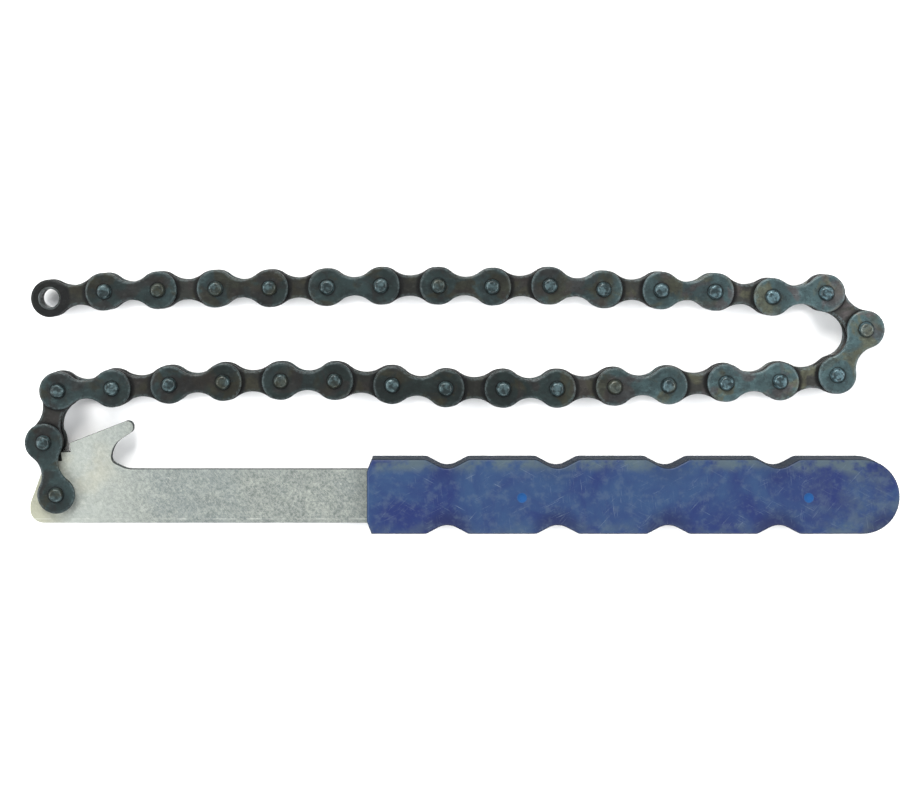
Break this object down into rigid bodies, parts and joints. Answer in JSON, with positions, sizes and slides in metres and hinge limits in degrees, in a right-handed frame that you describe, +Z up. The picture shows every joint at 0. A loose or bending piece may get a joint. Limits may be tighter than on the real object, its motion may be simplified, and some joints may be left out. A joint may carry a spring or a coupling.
{
  "type": "chain oil filter wrench",
  "caption": "Flat steel bar with a moulded grip, a toothed head with a horn, and a roller chain pinned to the head that loops round a canister and hooks on the horn.",
  "frame": {"origin": "centre of the bottom face of the whole box, on the surface the tool lies on", "axes": "+X along the bar from the toothed head to the grip's end, +Y from the bar towards the laid-out chain, +Z up out of the surface"},
  "size_m": [0.2066, 0.063, 0.01],
  "materials": {
    "zinc_bar": "zinc-plated, mottled, satin",
    "blue_grip": "moulded, worn satin",
    "outer_plates": "blued steel, oiled",
    "link_pins": "blued steel, worn ends",
    "inner_links": "blued steel, browner than the outer plates"
  },
  "bodies": {
    "bar": {"bar": "zinc_bar", "grip": "blue_grip"},
    "outer_link_01": {"outer_plates_01": "outer_plates", "link_pins_01": "link_pins"},
    "inner_link_01": {"inner_link_01": "inner_links"},
    "outer_link_02": {"outer_plates_02": "outer_plates", "link_pins_02": "link_pins"},
    "inner_link_02": {"inner_link_02": "inner_links"},
    "outer_link_03": {"outer_plates_03": "outer_plates", "link_pins_03": "link_pins"},
    "inner_link_03": {"inner_link_03": "inner_links"},
    "outer_link_04": {"outer_plates_04": "outer_plates", "link_pins_04": "link_pins"},
    "inner_link_04": {"inner_link_04": "inner_links"},
    "outer_link_05": {"outer_plates_05": "outer_plates", "link_pins_05": "link_pins"},
    "inner_link_05": {"inner_link_05": "inner_links"},
    "outer_link_06": {"outer_plates_06": "outer_plates", "link_pins_06": "link_pins"},
    "inner_link_06": {"inner_link_06": "inner_links"},
    "outer_link_07": {"outer_plates_07": "outer_plates", "link_pins_07": "link_pins"},
    "inner_link_07": {"inner_link_07": "inner_links"},
    "outer_link_08": {"outer_plates_08": "outer_plates", "link_pins_08": "link_pins"},
    "inner_link_08": {"inner_link_08": "inner_links"},
    "outer_link_09": {"outer_plates_09": "outer_plates", "link_pins_09": "link_pins"},
    "inner_link_09": {"inner_link_09": "inner_links"},
    "outer_link_10": {"outer_plates_10": "outer_plates", "link_pins_10": "link_pins"},
    "inner_link_10": {"inner_link_10": "inner_links"},
    "outer_link_11": {"outer_plates_11": "outer_plates", "link_pins_11": "link_pins"},
    "inner_link_11": {"inner_link_11": "inner_links"},
    "outer_link_12": {"outer_plates_12": "outer_plates", "link_pins_12": "link_pins"},
    "inner_link_12": {"inner_link_12": "inner_links"},
    "outer_link_13": {"outer_plates_13": "outer_plates", "link_pins_13": "link_pins"},
    "inner_link_13": {"inner_link_13": "inner_links"},
    "outer_link_14": {"outer_plates_14": "outer_plates", "link_pins_14": "link_pins"},
    "inner_link_14": {"inner_link_14": "inner_links"},
    "outer_link_15": {"outer_plates_15": "outer_plates", "link_pins_15": "link_pins"},
    "inner_link_15": {"inner_link_15": "inner_links"},
    "outer_link_16": {"outer_plates_16": "outer_plates", "link_pins_16": "link_pins"},
    "inner_link_16": {"inner_link_16": "inner_links"}
  },
  "joints": [
    {"name": "anchor_pin_turn", "type": "hinge", "parent": "bar", "child": "outer_link_01", "pos_m": [-0.09587, -0.02241, 0.005], "axis": [0, 0, 1], "range_deg": [0, 150]},
    {"name": "inner_link_01_swing", "type": "hinge", "parent": "outer_link_01", "child": "inner_link_01", "pos_m": [-0.09883, -0.01006, 0.005], "axis": [0, 0, 1], "range_deg": [-12, 20]},
    {"name": "outer_link_02_turn", "type": "hinge", "parent": "inner_link_01", "child": "outer_link_02", "pos_m": [-0.09544, 0.00217, 0.005], "axis": [0, 0, 1], "range_deg": [-23, 167]},
    {"name": "inner_link_02_swing", "type": "hinge", "parent": "outer_link_02", "child": "inner_link_02", "pos_m": [-0.08275, 0.00273, 0.005], "axis": [0, 0, 1], "range_deg": [-40, 60]},
    {"name": "outer_link_03_turn", "type": "hinge", "parent": "inner_link_02", "child": "outer_link_03", "pos_m": [-0.06912, 0.00356, 0.005], "axis": [0, 0, 1], "range_deg": [-94.5, 95.5]},
    {"name": "inner_link_03_swing", "type": "hinge", "parent": "outer_link_03", "child": "inner_link_03", "pos_m": [-0.05643, 0.00423, 0.005], "axis": [0, 0, -1], "range_deg": [-60, 40]},
    {"name": "outer_link_04_turn", "type": "hinge", "parent": "inner_link_03", "child": "outer_link_04", "pos_m": [-0.04278, 0.00447, 0.005], "axis": [0, 0, -1], "range_deg": [-96, 94]},
    {"name": "inner_link_04_swing", "type": "hinge", "parent": "outer_link_04", "child": "inner_link_04", "pos_m": [-0.03008, 0.00447, 0.005], "axis": [0, 0, 1], "range_deg": [-40, 60]},
    {"name": "outer_link_05_turn", "type": "hinge", "parent": "inner_link_04", "child": "outer_link_05", "pos_m": [-0.01645, 0.00351, 0.005], "axis": [0, 0, 1], "range_deg": [-95.5, 94.5]},
    {"name": "inner_link_05_swing", "type": "hinge", "parent": "outer_link_05", "child": "inner_link_05", "pos_m": [-0.00377, 0.00274, 0.005], "axis": [0, 0, -1], "range_deg": [-60, 40]},
    {"name": "outer_link_06_turn", "type": "hinge", "parent": "inner_link_05", "child": "outer_link_06", "pos_m": [0.00989, 0.00262, 0.005], "axis": [0, 0, -1], "range_deg": [-94.5, 95.5]},
    {"name": "inner_link_06_swing", "type": "hinge", "parent": "outer_link_06", "child": "inner_link_06", "pos_m": [0.02259, 0.00262, 0.005], "axis": [0, 0, 1], "range_deg": [-40, 60]},
    {"name": "outer_link_07_turn", "type": "hinge", "parent": "inner_link_06", "child": "outer_link_07", "pos_m": [0.03624, 0.00309, 0.005], "axis": [0, 0, 1], "range_deg": [-94.5, 95.5]},
    {"name": "inner_link_07_swing", "type": "hinge", "parent": "outer_link_07", "child": "inner_link_07", "pos_m": [0.04893, 0.00343, 0.005], "axis": [0, 0, -1], "range_deg": [-60, 40]},
    {"name": "outer_link_08_turn", "type": "hinge", "parent": "inner_link_07", "child": "outer_link_08", "pos_m": [0.06258, 0.00402, 0.005], "axis": [0, 0, -1], "range_deg": [-96, 94]},
    {"name": "inner_link_08_swing", "type": "hinge", "parent": "outer_link_08", "child": "inner_link_08", "pos_m": [0.07528, 0.00436, 0.005], "axis": [0, 0, 1], "range_deg": [-40, 60]},
    {"name": "outer_link_09_turn", "type": "hinge", "parent": "inner_link_08", "child": "outer_link_09", "pos_m": [0.08885, 0.0059, 0.005], "axis": [0, 0, 1], "range_deg": [-146.5, 43.5]},
    {"name": "inner_link_09_swing", "type": "hinge", "parent": "outer_link_09", "child": "inner_link_09", "pos_m": [0.09558, 0.01667, 0.005], "axis": [0, 0, 1], "range_deg": [-48, 15]},
    {"name": "outer_link_10_turn", "type": "hinge", "parent": "inner_link_09", "child": "outer_link_10", "pos_m": [0.08622, 0.02525, 0.005], "axis": [0, 0, 1], "range_deg": [-141.5, 48.5]},
    {"name": "inner_link_10_swing", "type": "hinge", "parent": "outer_link_10", "child": "inner_link_10", "pos_m": [0.07355, 0.02437, 0.005], "axis": [0, 0, 1], "range_deg": [-60, 40]},
    {"name": "outer_link_11_turn", "type": "hinge", "parent": "inner_link_10", "child": "outer_link_11", "pos_m": [0.05994, 0.02556, 0.005], "axis": [0, 0, 1], "range_deg": [-98.5, 91.5]},
    {"name": "inner_link_11_swing", "type": "hinge", "parent": "outer_link_11", "child": "inner_link_11", "pos_m": [0.04724, 0.02589, 0.005], "axis": [0, 0, -1], "range_deg": [-40, 60]},
    {"name": "outer_link_12_turn", "type": "hinge", "parent": "inner_link_11", "child": "outer_link_12", "pos_m": [0.03359, 0.02613, 0.005], "axis": [0, 0, -1], "range_deg": [-98, 92]},
    {"name": "inner_link_12_swing", "type": "hinge", "parent": "outer_link_12", "child": "inner_link_12", "pos_m": [0.02092, 0.02701, 0.005], "axis": [0, 0, 1], "range_deg": [-60, 40]},
    {"name": "outer_link_13_turn", "type": "hinge", "parent": "inner_link_12", "child": "outer_link_13", "pos_m": [0.00726, 0.02677, 0.005], "axis": [0, 0, 1], "range_deg": [-93, 97]},
    {"name": "inner_link_13_swing", "type": "hinge", "parent": "outer_link_13", "child": "inner_link_13", "pos_m": [-0.00544, 0.027, 0.005], "axis": [0, 0, -1], "range_deg": [-40, 60]},
    {"name": "outer_link_14_turn", "type": "hinge", "parent": "inner_link_13", "child": "outer_link_14", "pos_m": [-0.0191, 0.027, 0.005], "axis": [0, 0, -1], "range_deg": [-93.5, 96.5]},
    {"name": "inner_link_14_swing", "type": "hinge", "parent": "outer_link_14", "child": "inner_link_14", "pos_m": [-0.0318, 0.02666, 0.005], "axis": [0, 0, 1], "range_deg": [-60, 40]},
    {"name": "outer_link_15_turn", "type": "hinge", "parent": "inner_link_14", "child": "outer_link_15", "pos_m": [-0.04545, 0.02643, 0.005], "axis": [0, 0, 1], "range_deg": [-94.5, 95.5]},
    {"name": "inner_link_15_swing", "type": "hinge", "parent": "outer_link_15", "child": "inner_link_15", "pos_m": [-0.05815, 0.02631, 0.005], "axis": [0, 0, -1], "range_deg": [-40, 60]},
    {"name": "outer_link_16_turn", "type": "hinge", "parent": "inner_link_15", "child": "outer_link_16", "pos_m": [-0.07181, 0.02596, 0.005], "axis": [0, 0, -1], "range_deg": [-95, 95]},
    {"name": "end_link_swing", "type": "hinge", "parent": "outer_link_16", "child": "inner_link_16", "pos_m": [-0.0845, 0.02562, 0.005], "axis": [0, 0, 1], "range_deg": [-90, 55]}
  ],
  "couplings": [
    {"joint": "outer_link_02_turn", "follows": "inner_link_01_swing", "ratio": -1},
    {"joint": "outer_link_03_turn", "follows": "inner_link_02_swing", "ratio": -1},
    {"joint": "outer_link_04_turn", "follows": "inner_link_03_swing", "ratio": -1},
    {"joint": "outer_link_05_turn", "follows": "inner_link_04_swing", "ratio": -1},
    {"joint": "outer_link_06_turn", "follows": "inner_link_05_swing", "ratio": -1},
    {"joint": "outer_link_07_turn", "follows": "inner_link_06_swing", "ratio": -1},
    {"joint": "outer_link_08_turn", "follows": "inner_link_07_swing", "ratio": -1},
    {"joint": "outer_link_09_turn", "follows": "inner_link_08_swing", "ratio": -1},
    {"joint": "outer_link_10_turn", "follows": "inner_link_09_swing", "ratio": -1},
    {"joint": "outer_link_11_turn", "follows": "inner_link_10_swing", "ratio": -1},
    {"joint": "outer_link_12_turn", "follows": "inner_link_11_swing", "ratio": -1},
    {"joint": "outer_link_13_turn", "follows": "inner_link_12_swing", "ratio": -1},
    {"joint": "outer_link_14_turn", "follows": "inner_link_13_swing", "ratio": -1},
    {"joint": "outer_link_15_turn", "follows": "inner_link_14_swing", "ratio": -1},
    {"joint": "outer_link_16_turn", "follows": "inner_link_15_swing", "ratio": -1}
  ]
}
